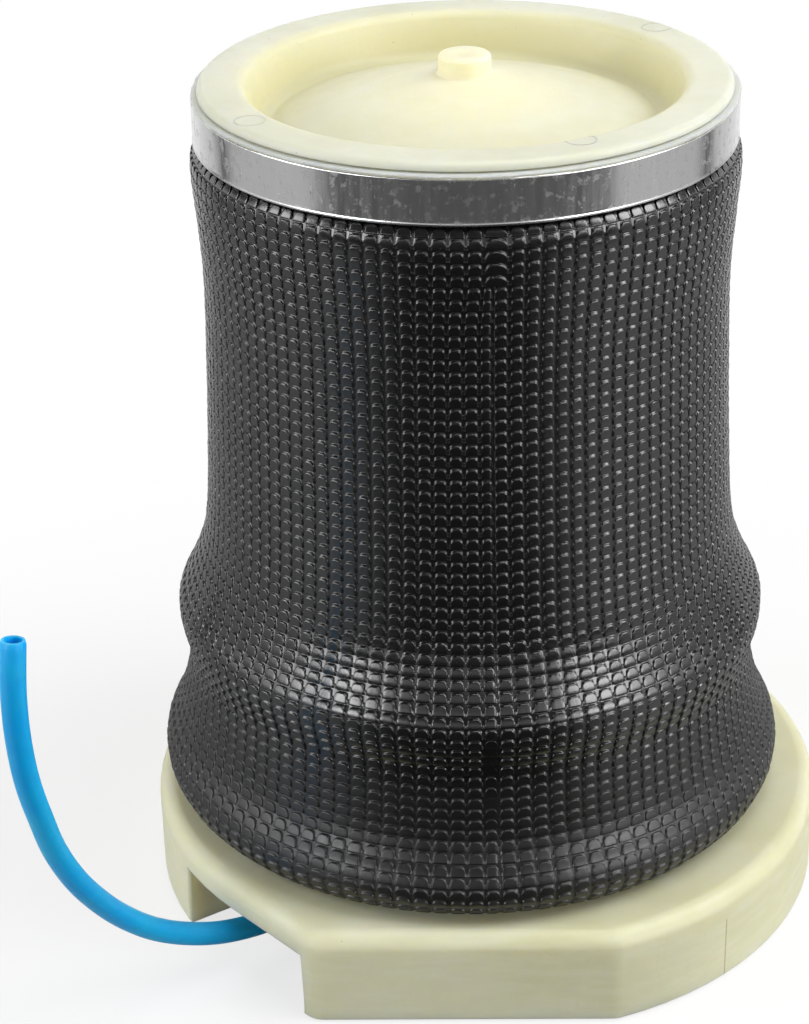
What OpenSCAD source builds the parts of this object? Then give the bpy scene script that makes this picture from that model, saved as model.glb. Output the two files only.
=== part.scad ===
// Air suspension spring for a vehicle seat: a rolling rubber sleeve between a nylon cap and a nylon base,
// with the air fitting under the base and its hose coming out through a gap in the base's skirt.
// Millimetres. +Z is up, and the origin is on the spring's axis at the level of the base's underside.

/* [Overall] */
// Height of the cap's flat rim above the base's underside, with the spring at rest
rim_z = 220.9; // [184:0.1:266]
// Outer radius of the top crimp ring
ring_r = 67; // [56:0.1:81]

/* [Cap] */
// Height of the rim that stands above the crimp ring
rim_h = 3.1; // [2.6:0.1:6]
// Width of the cap's flat rim, from its outer edge to the recess
rim_w = 11.1; // [8:0.1:16]
// Depth of the recess at the foot of its wall
recess_d = 11.3; // [8:0.1:13]
// How far the recess wall leans in, from its lip to its foot
recess_lean = 3; // [1:0.5:6]
// Radius of the centre peg
peg_r = 6.5; // [4:0.1:10]
// Height of the centre peg above the rim
peg_h = 5.2; // [3:0.1:12]
// Thickness of the cap's cone
cap_wall = 3.6; // [2.5:0.1:5]
// Depth of the spigot below the rim
spigot_d = 16.6; // [15:0.1:22]

/* [Crimp rings] */
// Height of each crimp ring
ring_h = 11.3; // [8:0.1:12.5]
// Sheet thickness of each crimp ring
ring_t = 1.5; // [1:0.1:2.5]

/* [Sleeve] */
// Thickness of the rubber wall
sleeve_t = 2.2; // [1.6:0.1:3]
// How far the sleeve's waist lies inside the top ring's side
waist_in = 0.6; // [0:0.1:3]
// How far the swelling just under the top ring stands out from the ring's side
shoulder_out = 1.1; // [0.5:0.1:3]
// How far the upper bulge stands out from the top ring's side
bulge_out = 11.1; // [9:0.1:14]
// Height of the upper bulge above the base plate
bulge_h = 53.5; // [44:0.1:65]
// How far the neck between bulge and lobe stands out from the top ring's side
neck_out = 8.8; // [7:0.1:11]
// How far the neck lies below the upper bulge
neck_d = 13.5; // [11:0.1:17]
// How far the rolling lobe stands out from the top ring's side
lobe_out = 17; // [14:0.1:21]

/* [Base plate] */
// Height of the base plate
plate_h = 26; // [24:0.1:32]
// How much larger than the lobe the radius of the base plate's round side is
plate_out = 6.5; // [5:0.1:20]
// How far the round side's centre lies to the right of the spring's axis
plate_shift_x = 4; // [0:0.5:8]
// How far the round side's centre lies in front of the spring's axis
plate_shift_y = 2; // [0:0.5:4]
// How far the flat front face stands in front of the lobe
flat_out = 2.5; // [1:0.1:4]
// Distance of the front left corner's centre to the left of the axis
corner_x = 38; // [30:1:46]
// Rounding of the front left corner
corner_r = 6; // [5:0.5:10]
// Rounding of the front right corner
blend_r = 8; // [5:0.5:14]
// Rounding of the plate's top edge
edge_r = 4.5; // [1:0.1:5.4]
// Thickness of the plate's deck
deck_t = 7.5; // [6:0.1:9]
// Thickness of the skirt
skirt_t = 4.6; // [3:0.1:5.6]
// Thickness of the ribs under the deck
rib_t = 3; // [2:0.1:5]
// Circle of the threaded inserts for fastening the base
insert_pcd = 130; // [108:1:156]
// Bore radius of the threaded inserts
insert_bore_r = 3.4; // [2.5:0.1:4]

/* [Piston] */
// Height of the piston above the base plate
piston_h = 34; // [28:0.1:41]
// Thickness of the piston's wall
piston_wall = 6; // [4:0.1:9]
// Thickness of the piston's deck
piston_deck = 8; // [6:0.1:10]
// How far the screws that hold the piston stand in from its side
screw_in = 18.3; // [15:0.1:22]
// Radius of the screws that hold the piston
screw_r = 3; // [2.5:0.1:3.6]

/* [Bump stop] */
// Height of the bump stop; the cap's travel ends just above it
bump_h = 52.4; // [43:0.1:63]
// Largest radius of the bump stop
bump_r = 23; // [19:0.1:28]
// Radius of the bump stop's screw
bump_screw_r = 4; // [3:0.1:5]

/* [Air fitting] */
// Outer radius of the hose
hose_r = 3; // [2.5:0.1:3.6]
// Height of the hose's axis where it leaves the fitting
fitting_z = 9.5; // [7.9:0.1:11.4]
// Place of the elbow to the left of the axis
elbow_x = 14; // [11:0.1:17]
// Place of the elbow in front of the axis
elbow_y = 30; // [25:0.1:36]
// Direction in which the hose leaves, seen from above
hose_az = 214; // [208:0.5:220]
// Radius of the elbow's barrel
barrel_r = 6.5; // [5.4:0.1:7.8]
// Length of the elbow's barrel from the stem's axis
barrel_l = 22; // [18:0.1:27]
// Travel of the release collet
collet_travel = 1.2; // [0.6:0.1:1.6]
// Width of the hose channel on the hose's side towards the back
channel_back = 22; // [20:0.1:30]
// Width of the hose channel on the hose's side towards the flat front
channel_front = 28; // [23:0.1:34]

/* [Hidden] */
$fn = 96;

// Clearances
loose = 0.3;        // between the sleeve and what clamps it
snug = 0.05;        // between a part and the seat that it is pressed or screwed into
hole_gap = 0.3;     // between a screw and the hole that it passes through

// Heights of the cap
ring_top = rim_z - rim_h;
ring_bottom = ring_top - ring_h;
spigot_bottom = rim_z - spigot_d;
floor_z = rim_z - recess_d;
flange_t = 0.8;
groove_h = 0.4;
edge_h = rim_h - flange_t - groove_h;       // rounded edge of the rim, above the groove
groove_d = 2.6;
barb_h = 2.4;                               // pitch of the grooves that the rubber is pressed into
lip_r = 3;
pad_d = 8;
pad_z = rim_z - pad_d;                      // flat under the cap that meets the bump stop

// Radii of the clamped sleeve
clamp_in = ring_r - ring_t - loose;         // sleeve's outside under the top ring
spigot_r = clamp_in - sleeve_t - loose;     // cap's spigot inside the sleeve
rim_step = 1.5;
rim_r = ring_r - rim_step;                  // side of the rim above the ring
recess_r = rim_r - rim_w;                   // recess at its lip
floor_r = recess_r - recess_lean;

// Radii of the sleeve's outside, and of the base plate under it
waist_r = ring_r - waist_in;
shoulder_r = ring_r + shoulder_out;
bulge_r = ring_r + bulge_out;
neck_r = ring_r + neck_out;
lobe_r = ring_r + lobe_out;
plate_r = lobe_r + plate_out;
flat_y = lobe_r + flat_out;

// Heights and radii of the lobe and the piston
deck_z = plate_h;                           // top of the base plate
lobe_gap = 0.3;                             // between lobe and base plate
leg_in = 0.2;
leg_r = ring_r - sleeve_t - leg_in;         // side of the inner leg that faces the piston
roll_r = (lobe_r - leg_r) / 2;              // radius of the roll
roll_x = leg_r + roll_r;
roll_z = deck_z + lobe_gap + roll_r;
piston_r = leg_r - loose;
piston_top = deck_z + piston_h;
screw_pcd = 2 * (piston_r - screw_in);
leg_d = 2;
leg_top = piston_top - leg_d;
low_ring_in = leg_r + sleeve_t + loose;
low_ring_d = 1;
low_ring_z = leg_top - ring_h - low_ring_d;

// Heights of the sleeve's bends
bulge_z = deck_z + bulge_h;
neck_z = bulge_z - neck_d;
waist_top = ring_bottom - 19;               // upper end of the waist, and its lower end
waist_low = bulge_z + 30;

// Heights of the bump stop and what holds it
seat_h = 8;                                 // rubber under the washer
washer_t = 1.6;
head_h = 8;
screw_l = 30;
washer_z = piston_top + seat_h;
head_z = washer_z + washer_t;
insert_t = 2.5;                             // wall of a threaded insert
insert_l = 20;
boss_t = 9;                                 // plastic around the insert
boss_r = bump_screw_r + insert_t + boss_t;
spacer_r = bump_screw_r + 2;
bump_washer_r = bump_screw_r + 5.5;
bump_head_r = bump_screw_r * 1.6;
hex_key = 0.85;                             // size of a screw's hexagon, as a share of its radius

// Base plate
plate_c = [plate_shift_x, -plate_shift_y];
corner_c = [-corner_x, -flat_y + corner_r];
blend_dy = flat_y - blend_r - plate_shift_y;
blend_c = [plate_shift_x + sqrt(pow(plate_r - blend_r, 2) - pow(blend_dy, 2)), -flat_y + blend_r];
corner_v = corner_c - plate_c;
corner_az = atan2(corner_v[1], corner_v[0]) + 360 - acos((plate_r - corner_r) / norm(corner_v));
blend_az = atan2(blend_c[1] - plate_c[1], blend_c[0] - plate_c[0]);
deck_bottom = plate_h - deck_t;
insert_boss_r = insert_bore_r + insert_t + 2.5;
base_insert_l = 12;
piston_screw_head = 4;
piston_screw_l = 24;
screw_boss_r = screw_r + 4.5;
washer_r = screw_r + 3.5;
pocket_r = washer_r + 2;                    // room for a tool around a screw's head
rib_ring_r = screw_pcd / 2 - 10;            // round rib inside the circle of the screws
rib_z = 3;                                  // underside of the ribs

// Air fitting: lengths along the barrel count from the stem's axis
elbow = [-elbow_x, -elbow_y, fitting_z];
tube_stop = 7;
seal_s = tube_stop + 1.2;
grab_s = seal_s + 3.2;
grab_t = 0.5;
collet_s = grab_s + grab_t + collet_travel + 0.1;
flange_s = barrel_l + collet_travel + 0.5;   // collet's flange, which a finger pushes in
cavity_r = hose_r + 2;
stem_r = 4;
stem_hex = 14;                              // across flats
hex_z = fitting_z + 9.5;
seal_t = 1;
thread_r = 4.85;
port_l = 12;
passage_r = 1.8;
filter_r = 6;
filter_t = 3;
port_boss_t = 4;
stem_hole_r = stem_hex / 2 + 3.5;
elbow_room = 9;                             // room for a finger around the elbow
o_ring_r = 0.8;                             // thickness radius of the stem's ring
o_ring_z = fitting_z + 5.9;
hex_h = deck_z - seal_t - hex_z;
channel_s = stem_hex / 2 + 5;               // inner end of the hose channel

// Points on an arc about c, from angle a to angle b in n steps, without its last points where leave is set
function arc(c, r, a, b, n, leave = 0) =
    [for (i = [0:n - leave]) let (t = a + (b - a) * i / n) c + r * [cos(t), sin(t)]];

// A smooth curve through points: n steps in each span
function spline_at(p, i, t) =
    let (a = p[max(i - 1, 0)], b = p[i], c = p[i + 1], d = p[min(i + 2, len(p) - 1)])
    0.5 * (2 * b + (c - a) * t + (2 * a - 5 * b + 4 * c - d) * t * t + (3 * b - a - 3 * c + d) * t * t * t);
function spline(p, n) = [for (i = [0:len(p) - 2]) for (k = [0:n - 1]) spline_at(p, i, k / n), p[len(p) - 1]];

// A line of points shifted sideways by d, to the right of its direction
function normal_at(p, i) =
    let (v = p[min(i + 1, len(p) - 1)] - p[max(i - 1, 0)])
    [v[1], -v[0]] / norm(v);
function shifted(p, d) = [for (i = [0:len(p) - 1]) p[i] + d * normal_at(p, i)];
function reversed(p) = [for (i = [len(p) - 1:-1:0]) p[i]];

// Outline of the base plate, moved in by d: round side, front left corner, front right corner
function plate_outline(d) = concat(
    arc(plate_c, plate_r - d, blend_az, corner_az, 72),
    arc(corner_c, corner_r - d, corner_az, 270, 6),
    arc(blend_c, blend_r - d, 270, blend_az + 360, 5, 1));

// Skin through outlines of equal length, each at its own height
module loft(levels) {
    n = len(levels[0][1]);
    m = len(levels);
    points = [for (l = levels) for (q = l[1]) [q[0], q[1], l[0]]];
    sides = [for (k = [0:m - 2]) for (i = [0:n - 1])
        [k * n + i, (k + 1) * n + i, (k + 1) * n + (i + 1) % n, k * n + (i + 1) % n]];
    bottom = [[for (i = [0:n - 1]) i]];
    top = [[for (i = [n - 1:-1:0]) (m - 1) * n + i]];
    polyhedron(points, concat(bottom, sides, top), convexity = 4);
}

// Places along the elbow's barrel: children point away from the elbow along +X
module at_barrel(s = 0) {
    translate(elbow) rotate([0, 0, hose_az]) translate([s, 0, 0]) children();
}

// A ring or disc round the barrel's axis, from s1 to s2
module barrel_ring(s1, s2, r_out, r_in = 0) {
    at_barrel(s1) rotate([0, 90, 0]) difference() {
        cylinder(h = s2 - s1, r = r_out);
        if (r_in > 0) translate([0, 0, -1]) cylinder(h = s2 - s1 + 2, r = r_in);
    }
}

// Places on the fitting's upright axis, at height z
module at_port(z = 0) {
    translate([elbow[0], elbow[1], z]) children();
}

// A vertical tube at height z
module tube(z, h, r_out, r_in) {
    translate([0, 0, z]) difference() {
        cylinder(h = h, r = r_out);
        translate([0, 0, -1]) cylinder(h = h + 2, r = r_in);
    }
}

module at_inserts() {
    for (a = [30, 150, 270]) translate(insert_pcd / 2 * [cos(a), sin(a), 0]) children();
}

module at_piston_screws() {
    for (a = [0:90:270]) rotate([0, 0, a]) translate([screw_pcd / 2, 0, 0]) children();
}

// Cap: rim and recess outside, hollow cone underneath
cap_profile = concat(
    [[0, rim_z + peg_h - 0.6], [peg_r - 2.6, rim_z + peg_h - 0.2]],
    arc([peg_r - 1.2, rim_z + peg_h - 1.2], 1.2, 90, 0, 4),
    [[peg_r, rim_z + 0.9], [peg_r + 0.5, rim_z + 0.2], [peg_r + 1.5, rim_z - 0.1]],
    arc([floor_r - 4, floor_z + 3.6], 3.6, 270, 350, 5),
    [[recess_r - 1.2, rim_z - lip_r]],
    arc([recess_r + lip_r - 1, rim_z - lip_r], lip_r, 170, 90, 5),
    arc([rim_r - edge_h, rim_z - edge_h], edge_h, 90, 0, 5),
    [[rim_r - groove_d, ring_top + flange_t + groove_h], [rim_r - groove_d, ring_top + flange_t],
     [ring_r - 0.5, ring_top + flange_t], [ring_r - 0.5, ring_top], [spigot_r, ring_top]],
    [for (k = [1:3]) let (z = ring_top - barb_h * k)
        each [[spigot_r, z], [spigot_r - 0.7, z - 0.7], [spigot_r, z - 1.4]]],
    [[spigot_r, spigot_bottom + 1.5], [spigot_r - 1.5, spigot_bottom], [floor_r + 5, spigot_bottom],
     [floor_r + 3, spigot_bottom + 1.2], [floor_r - 3, floor_z - cap_wall],
     [bump_r + 3, pad_z], [0, pad_z]]);

module top_cap() {
    color("cornsilk") rotate_extrude() polygon(cap_profile);
}

module top_crimp_ring() {
    color("gainsboro") rotate_extrude() polygon([
        [clamp_in + loose, ring_bottom + 0.5], [clamp_in + loose + 0.3, ring_bottom],
        [ring_r + 0.1, ring_bottom], [ring_r + 0.3, ring_bottom + 0.4], [ring_r, ring_bottom + 0.9],
        [ring_r, ring_top - snug - 0.3], [ring_r - 0.3, ring_top - snug],
        [clamp_in + loose, ring_top - snug]]);
}

// Outer side of the sleeve, from the top crimp ring down to the lobe
function waist_z(share) = waist_top + (waist_low - waist_top) * share;
sleeve_side = spline([
    [clamp_in, ring_bottom + 1],
    [clamp_in + 0.5, ring_bottom - 0.3],
    [shoulder_r - 0.3, ring_bottom - 3],
    [shoulder_r, ring_bottom - 8],
    [(shoulder_r + waist_r) / 2, waist_top],
    [waist_r, waist_z(17 / 78)],
    [waist_r + 0.6, waist_z(42 / 78)],
    [waist_r + 1.5, waist_z(63 / 78)],
    [waist_r + 2.4, waist_low],
    [waist_r + 3.8, bulge_z + 20],
    [(waist_r + bulge_r) / 2 + 0.4, bulge_z + 12.5],
    [bulge_r - 2.6, bulge_z + 6],
    [bulge_r - 0.3, bulge_z + 1.5],
    [bulge_r - 0.3, bulge_z - 3.5],
    [neck_r + 0.6, neck_z + 4],
    [neck_r, neck_z],
    [neck_r + 1.2, neck_z - 9],
    [(neck_r + lobe_r) / 2, roll_z + 11],
    [lobe_r - 0.8, roll_z + 4.5]], 2);
roll = arc([roll_x, roll_z], roll_r, 8, -180, 16);
sleeve_out = concat([[clamp_in, ring_top - loose]], sleeve_side, roll, [[leg_r, leg_top]]);

module sleeve() {
    color("dimgray") rotate_extrude() polygon(concat(sleeve_out, reversed(shifted(sleeve_out, sleeve_t))));
}

module bottom_crimp_ring() {
    color("silver") tube(low_ring_z, ring_h, low_ring_in + ring_t, low_ring_in);
}

module piston() {
    color("ivory") difference() {
        union() {
            difference() {
                translate([0, 0, deck_z]) cylinder(h = piston_h, r = piston_r);
                translate([0, 0, deck_z - 1])
                    cylinder(h = piston_h - piston_deck + 1, r = piston_r - piston_wall);
            }
            translate([0, 0, deck_z]) cylinder(h = piston_h - 1, r = boss_r);
            at_port(deck_z) cylinder(h = piston_h - 1, r = thread_r + insert_t + port_boss_t);
            at_piston_screws() translate([0, 0, deck_z]) cylinder(h = piston_h - 1, r = screw_boss_r);
            for (a = [45:90:315]) rotate([0, 0, a]) translate([boss_r - 2, -rib_t / 2, deck_z + 8])
                cube([piston_r - piston_wall - boss_r + 3, rib_t, piston_h - 9]);
        }
        for (k = [1:4]) tube(leg_top - 1 - barb_h * k, 0.8, piston_r + 1, piston_r - 0.7);
        translate([0, 0, piston_top - insert_l])
            cylinder(h = insert_l + 1, r = bump_screw_r + insert_t + snug);
        translate([0, 0, piston_top - screw_l]) cylinder(h = screw_l, r = bump_screw_r + snug);
        at_port(deck_z - 1) cylinder(h = port_l + 1, r = thread_r + insert_t + snug);
        at_port(deck_z) cylinder(h = piston_h + 1, r = passage_r + 1);
        at_port(piston_top - filter_t) cylinder(h = filter_t + 1, r = filter_r + snug);
        at_piston_screws() translate([0, 0, deck_z - 1])
            cylinder(h = piston_screw_l - deck_t - washer_t + 2, r = screw_r + snug);
    }
}

// Bump stop: two swellings with a waist between them, bored from the top for its screw
bump_side = spline([
    [bump_r, 0], [bump_r, 5], [bump_r - 4, bump_h * 0.30], [bump_r - 1, bump_h * 0.52],
    [bump_r - 4.5, bump_h * 0.74], [bump_r - 6, bump_h * 0.90], [bump_r - 8.5, bump_h]], 3);

module bump_stop() {
    well_r = bump_washer_r + 0.5;
    color("dimgray") translate([0, 0, piston_top]) difference() {
        rotate_extrude() polygon(concat([[0, 0]], bump_side, [[0, bump_h]]));
        translate([0, 0, seat_h]) cylinder(h = bump_h, r = well_r);
        translate([0, 0, -1]) cylinder(h = seat_h + 2, r = spacer_r + snug);
    }
}

module bump_spacer() {
    color("silver") tube(piston_top, seat_h, spacer_r, bump_screw_r + hole_gap);
}

module bump_washer() {
    color("silver") tube(washer_z, washer_t, bump_washer_r, bump_screw_r + hole_gap);
}

module bump_screw() {
    color("dimgray") difference() {
        union() {
            translate([0, 0, head_z]) cylinder(h = head_h, r = bump_head_r);
            translate([0, 0, head_z - screw_l]) cylinder(h = screw_l, r = bump_screw_r);
        }
        translate([0, 0, head_z + head_h - 4]) cylinder(h = 5, r = bump_screw_r * hex_key, $fn = 6);
    }
}

module screw_insert() {
    color("goldenrod")
        tube(piston_top - insert_l, insert_l - snug, bump_screw_r + insert_t, bump_screw_r + snug);
}

// Ribs and bosses under the deck of the base plate
module plate_ribs() {
    for (a = [0:60:300]) rotate([0, 0, a]) translate([0, -rib_t / 2, rib_z])
        cube([plate_r + plate_shift_x, rib_t, deck_bottom - rib_z + 1]);
    tube(0, deck_bottom + 1, rib_ring_r, rib_ring_r - rib_t);
    for (y = [-channel_back - rib_t, channel_front]) at_barrel(channel_s) translate([0, y, -fitting_z])
        cube([plate_r, rib_t, deck_bottom + 1]);
    at_inserts() cylinder(h = deck_bottom + 1, r = insert_boss_r);
}

module base_plate() {
    fillet = [for (t = [0:18:90]) [plate_h - edge_r + edge_r * sin(t), plate_outline(edge_r * (1 - cos(t)))]];
    color("cornsilk") difference() {
        loft(concat([[0, plate_outline(0.6)], [0.6, plate_outline(0)]], fillet));
        // hollow under the deck, with its ribs left standing
        difference() {
            translate([0, 0, -1]) linear_extrude(deck_bottom + 1) polygon(plate_outline(skirt_t));
            plate_ribs();
        }
        // hose channel with the gap in the skirt
        at_barrel(channel_s) translate([0, -channel_back, -fitting_z - 1])
            cube([plate_r, channel_back + channel_front, deck_bottom + 1]);
        // room for the elbow, and for the screws' heads
        at_port(-1) cylinder(h = deck_bottom + 1, r = barrel_r + elbow_room);
        at_piston_screws() translate([0, 0, -1]) cylinder(h = deck_bottom + 1, r = pocket_r);
        // through holes and insert bores
        at_port() cylinder(h = plate_h + 1, r = stem_hole_r);
        at_piston_screws() cylinder(h = plate_h + 1, r = screw_r + hole_gap);
        at_inserts() translate([0, 0, -1])
            cylinder(h = base_insert_l + 1.5, r = insert_bore_r + insert_t + snug);
    }
}

module piston_screws() {
    z = deck_bottom - washer_t;
    color("silver") at_piston_screws() difference() {
        union() {
            translate([0, 0, z]) cylinder(h = piston_screw_l, r = screw_r);
            translate([0, 0, z - piston_screw_head]) cylinder(h = piston_screw_head, r = screw_r * 1.7);
        }
        translate([0, 0, z - piston_screw_head - 1]) cylinder(h = 3.2, r = screw_r * hex_key, $fn = 6);
    }
}

module piston_washers() {
    color("gainsboro") at_piston_screws()
        tube(deck_bottom - washer_t, washer_t, washer_r, screw_r + hole_gap);
}

module base_inserts() {
    color("goldenrod") at_inserts() tube(0, base_insert_l, insert_bore_r + insert_t, insert_bore_r);
}

module port_insert() {
    color("goldenrod") at_port() tube(deck_z, port_l - snug, thread_r + insert_t, thread_r + snug);
}

module port_filter() {
    color("tan") at_port(piston_top - filter_t) cylinder(h = filter_t, r = filter_r);
}

module port_seal() {
    color("firebrick") at_port() tube(deck_z - seal_t, seal_t, stem_hex / 2 - 0.3, thread_r + 0.2);
}

module elbow_stem() {
    color("goldenrod") at_port() difference() {
        union() {
            translate([0, 0, fitting_z + 2.6]) cylinder(h = hex_z - fitting_z - 2, r = stem_r);
            translate([0, 0, hex_z]) cylinder(h = hex_h, r = stem_hex / sqrt(3), $fn = 6);
            translate([0, 0, hex_z + hex_h - 0.5]) cylinder(h = 9.5, r = thread_r);
        }
        translate([0, 0, fitting_z]) cylinder(h = 30, r = passage_r);
        tube(o_ring_z - 0.9, 1.8, stem_r + 1, stem_r - 1.2);
    }
}

module stem_o_ring() {
    color("black") at_port(o_ring_z)
        rotate_extrude() translate([stem_r - 0.35, 0]) circle(r = o_ring_r, $fn = 24);
}

module elbow_body() {
    knuckle_r = barrel_r + 0.5;
    knuckle_z = fitting_z - barrel_r - 0.5;
    color("darkslategray") difference() {
        union() {
            barrel_ring(0, barrel_l, barrel_r);
            barrel_ring(barrel_l - 6, barrel_l - 1, barrel_r + 0.4);
            at_port() rotate_extrude() polygon([[0, hex_z], [knuckle_r, hex_z], [knuckle_r, knuckle_z + 1.2],
                                                [knuckle_r - 1.2, knuckle_z], [0, knuckle_z]]);
        }
        at_port(fitting_z - passage_r - 0.3) cylinder(h = 20, r = passage_r + 0.3);
        at_port(fitting_z + 2.5) cylinder(h = 10, r = stem_r + 0.5);
        barrel_ring(0, tube_stop + 1, passage_r);
        barrel_ring(tube_stop, barrel_l + 1, hose_r + 0.1);
        barrel_ring(seal_s, barrel_l + 1, cavity_r + snug);
    }
}

module tube_seal() {
    color("black") at_barrel(seal_s + 1.6) rotate([0, 90, 0])
        rotate_extrude() translate([hose_r + 1.05, 0]) circle(r = 0.93, $fn = 24);
}

// Grab ring: thin spring disc whose teeth bite on the hose
module grab_ring() {
    color("silver") difference() {
        barrel_ring(grab_s, grab_s + grab_t, cavity_r, hose_r + 0.1);
        at_barrel(grab_s) for (a = [0:45:315]) rotate([a, 0, 0])
            translate([0.25, 0, hose_r + 0.5]) cube([2, 0.5, 1.4], center = true);
    }
}

module cartridge_sleeve() {
    color("goldenrod") barrel_ring(grab_s + grab_t + 0.1, barrel_l - 0.5, cavity_r, hose_r + 0.95);
}

module release_collet() {
    color("royalblue") {
        barrel_ring(collet_s, flange_s + 0.1, hose_r + 0.9, hose_r + 0.15);
        barrel_ring(flange_s, flange_s + 1.5, cavity_r + 0.3, hose_r + 0.15);
    }
}

// Route of the hose: straight out of the fitting, then up in one stiff bow
hose_start = [for (s = [tube_stop + 0.2, 15, 24, 33, 42]) elbow + s * [cos(hose_az), sin(hose_az), 0]];
hose_bow = [[-57.5, -59.3, 9.8], [-66, -65.3, 12], [-74, -71.5, 16.5], [-81, -78, 23], [-87, -84.5, 31.5],
            [-91.5, -91, 41], [-95.4, -97.8, 52.2], [-98.5, -103.6, 64.6], [-100.2, -108.2, 77],
            [-101.7, -111.6, 89.3], [-102.4, -113.4, 101.8], [-102.4, -113.4, 114.2], [-101.6, -111.6, 127.2]];
hose_route = concat(hose_start, hose_bow);
hose_sides = 12;

function along(i) =
    let (v = hose_route[min(i + 1, len(hose_route) - 1)] - hose_route[max(i - 1, 0)])
    v / norm(v);
function across(i) = let (v = cross(along(i), [0, 0, 1])) v / norm(v);
function hose_ring(i) = let (u = across(i), w = cross(u, along(i)))
    [for (k = [0:hose_sides - 1]) let (t = k * 360 / hose_sides)
        hose_route[i] + hose_r * (u * cos(t) + w * sin(t))];

module hose() {
    n = hose_sides;
    m = len(hose_route);
    points = [for (i = [0:m - 1]) each hose_ring(i)];
    sides = [for (i = [0:m - 2]) for (k = [0:n - 1])
        [i * n + k, i * n + (k + 1) % n, (i + 1) * n + (k + 1) % n, (i + 1) * n + k]];
    first = [[for (k = [n - 1:-1:0]) k]];
    last = [[for (k = [0:n - 1]) (m - 1) * n + k]];
    color("deepskyblue") polyhedron(points, concat(first, sides, last), convexity = 6);
}

top_cap();
top_crimp_ring();
sleeve();
bottom_crimp_ring();
piston();
bump_stop();
bump_spacer();
bump_washer();
bump_screw();
screw_insert();
base_plate();
piston_screws();
piston_washers();
base_inserts();
port_insert();
port_filter();
port_seal();
elbow_stem();
stem_o_ring();
elbow_body();
tube_seal();
grab_ring();
cartridge_sleeve();
release_collet();
hose();
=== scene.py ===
# Looks of the seat air spring: its pieces, materials, light and camera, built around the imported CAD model.
# Everything is in metres in the CAD model's own frame. Sizes written in millimetres are turned by MM.
import math

import bmesh
import bpy
import numpy as np
from mathutils import Matrix, Vector


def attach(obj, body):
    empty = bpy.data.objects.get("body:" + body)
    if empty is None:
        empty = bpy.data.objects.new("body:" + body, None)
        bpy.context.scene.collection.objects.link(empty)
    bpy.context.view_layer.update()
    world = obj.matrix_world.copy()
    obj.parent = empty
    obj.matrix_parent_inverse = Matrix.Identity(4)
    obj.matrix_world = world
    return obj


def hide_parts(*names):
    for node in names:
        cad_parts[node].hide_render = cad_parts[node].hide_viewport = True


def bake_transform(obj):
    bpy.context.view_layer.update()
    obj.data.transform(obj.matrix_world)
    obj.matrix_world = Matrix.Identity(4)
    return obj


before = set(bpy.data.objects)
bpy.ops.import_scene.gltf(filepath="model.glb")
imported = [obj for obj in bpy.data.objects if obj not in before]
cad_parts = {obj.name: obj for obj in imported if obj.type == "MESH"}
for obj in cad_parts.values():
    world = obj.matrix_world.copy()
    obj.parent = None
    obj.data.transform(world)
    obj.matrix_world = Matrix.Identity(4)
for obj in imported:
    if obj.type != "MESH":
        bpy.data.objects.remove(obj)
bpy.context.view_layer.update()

MM = 0.001
SAME_PLACE = 1e-6
RANDOM = np.random.default_rng(7)

# Camera, found from the outlines in the photograph
CAMERA_PLACE = (0.0, -0.59443, 0.40824)
CAMERA_PITCH = math.radians(27.3531)
CAMERA_YAW = math.radians(-1.6404)
CAMERA_ROLL = math.radians(-1.2705)
CAMERA_LENS = 88.53

# Top ring and cap of the CAD model, in millimetres. The dish is the floor of the cap's recess, and the pad is
# the flat under its middle. A pair of limits runs from where a tone starts to where it is full.
RING_R = 67.0
RING_TOP = 217.8
RING_BOTTOM = 206.5
RIM_Z = 220.9
RIM_R = 65.5
RIM_ROUND_OUT = 1.9
RIM_ROUND_IN = 3.0
RECESS_R = 54.4
DISH_R = 51.4
DISH_Z = 209.6
PEG_R = 6.5
PEG_H = 5.2
SPIGOT_R = 62.7
SPIGOT_BOTTOM = 204.3
PAD_Z = 212.9
PAD_R = 26.0
DISH_EDGE = (DISH_R - 9, DISH_R)
RECESS_EDGE = (RECESS_R - 3, RECESS_R + 3)

# Unevenness in millimetres: the flange's trimmed edge, in long and short waves and how far it is set back,
# the rim's height, the ring's side, and the ring's rolled lower edge
TRIM_LONG = 0.16
TRIM_SHORT = 0.14
TRIM_BACK = 0.08
RIM_WAVE = 0.06
RING_WAVE = 0.05
ROLLED_WAVE = 0.06

# Circles left by the mould's ejector pins on the cap's rim: places, radius, the line's width, height and foot
PIN_MARKS = ((26.1, -50.3), (-50.0, -34.0), (49.0, 36.5))
PIN_R = 3.6
PIN_LINE = 0.34
PIN_PROUD = 0.05
PIN_SUNK = 0.15

# Base plate: centre and radius of its round side, its flat front, and its rounded edges. The gap's edges are
# told from others by their place, height and angle.
DECK_Z = 26.0
PLATE_C = (4.0, -2.0)
PLATE_R = 90.5
FLAT_Y = -86.5
EDGE_ROUND = 0.5
GAP_ROUND = 1.4
GAP_NEAR = 0.8
GAP_TALL = 3.0
GAP_ANGLE = math.radians(50)

# Parting line on the plate's outer side, and the limits of the painted light under the plate and in its gap,
# a lighter, warmer tone for light coming through the nylon
PARTING_AZ = math.radians(312.5)
PARTING_WIDTH = (0.3, 0.1)
PARTING_X = (60.0, 62.0)
PARTING_Z = (18.5, 17.5)
PAINTED_GLOW_R = (PLATE_R - 1.1, PLATE_R - 2.7)
PAINTED_GLOW_Y = (FLAT_Y + 0.3, FLAT_Y + 1.5)
PAINTED_GLOW_Z = (22.2, 20.0)

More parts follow.
